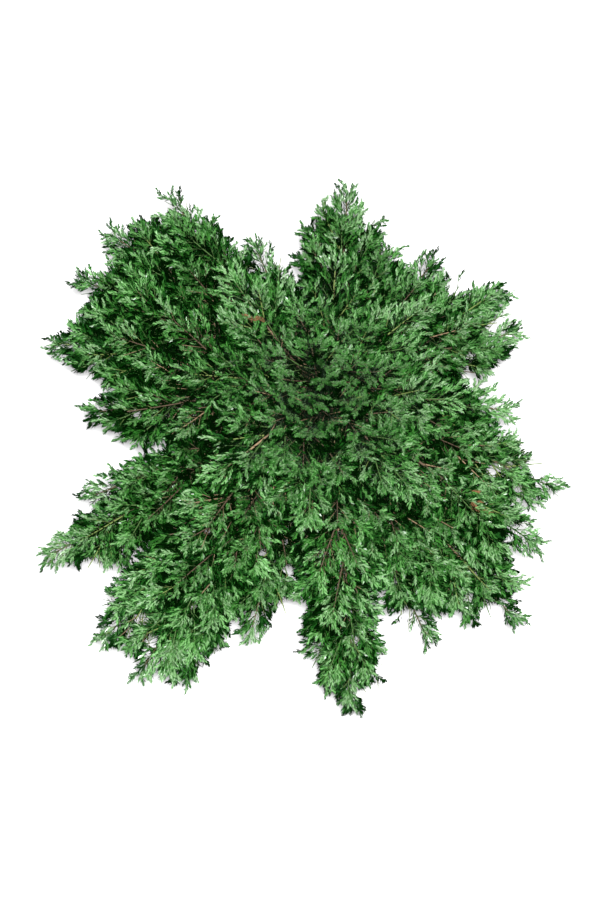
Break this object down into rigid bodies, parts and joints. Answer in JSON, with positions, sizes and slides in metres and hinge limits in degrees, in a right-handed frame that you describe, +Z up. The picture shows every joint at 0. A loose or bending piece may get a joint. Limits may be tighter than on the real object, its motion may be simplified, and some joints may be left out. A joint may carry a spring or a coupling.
{
  "type": "potted green carpet juniper",
  "caption": "Low spreading juniper shrub with needle-covered boughs that radiate and arch over the rim of a plain round tapered pot.",
  "frame": {"origin": "middle of the pot's flat underside", "axes": "+Z up, +Y to the north side of the plant, which is the top of the picture, +X to the picture's right"},
  "size_m": [0.5218, 0.5224, 0.3566],
  "materials": {
    "pot_plastic": "black moulded plastic, slightly satin",
    "compost": "dark crumbly bark compost",
    "bark": "brown bark, ridged and flaking",
    "foliage": "green needles, brighter at the shoot tips"
  },
  "bodies": {
    "root": {"bough_east": "bark", "bough_east_by_south": "bark", "bough_east_north_east": "bark", "bough_east_south_east": "bark", "bough_north": "bark", "bough_north_by_west": "bark", "bough_north_east": "bark", "bough_north_east_by_north": "bark", "bough_north_north_east": "bark", "bough_north_north_west": "bark", "bough_north_west": "bark", "bough_south": "bark", "bough_south_by_west": "bark", "bough_south_east": "bark", "bough_south_east_by_south": "bark", "bough_south_south_east": "bark", "bough_south_south_west": "bark", "bough_south_west": "bark", "bough_south_west_by_south": "bark", "bough_west": "bark", "bough_west_by_north": "bark", "bough_west_by_south": "bark", "bough_west_north_west": "bark", "bough_west_south_west": "bark", "compost": "compost", "foliage_crown_east": "foliage", "foliage_crown_north": "foliage", "foliage_crown_north_east": "foliage", "foliage_crown_north_west": "foliage", "foliage_crown_south": "foliage", "foliage_crown_south_east": "foliage", "foliage_crown_south_west": "foliage", "foliage_crown_top": "foliage", "foliage_crown_west": "foliage", "foliage_east": "foliage", "foliage_east_by_south": "foliage", "foliage_east_north_east": "foliage", "foliage_east_south_east": "foliage", "foliage_north": "foliage", "foliage_north_by_west": "foliage", "foliage_north_east": "foliage", "foliage_north_east_by_north": "foliage", "foliage_north_north_east": "foliage", "foliage_north_north_west": "foliage", "foliage_north_west": "foliage", "foliage_south": "foliage", "foliage_south_by_west": "foliage", "foliage_south_east": "foliage", "foliage_south_east_by_south": "foliage", "foliage_south_south_east": "foliage", "foliage_south_south_west": "foliage", "foliage_south_west": "foliage", "foliage_south_west_by_south": "foliage", "foliage_west": "foliage", "foliage_west_by_north": "foliage", "foliage_west_by_south": "foliage", "foliage_west_north_west": "foliage", "foliage_west_south_west": "foliage", "pot": "pot_plastic", "trunk": "bark"}
  },
  "joints": []
}
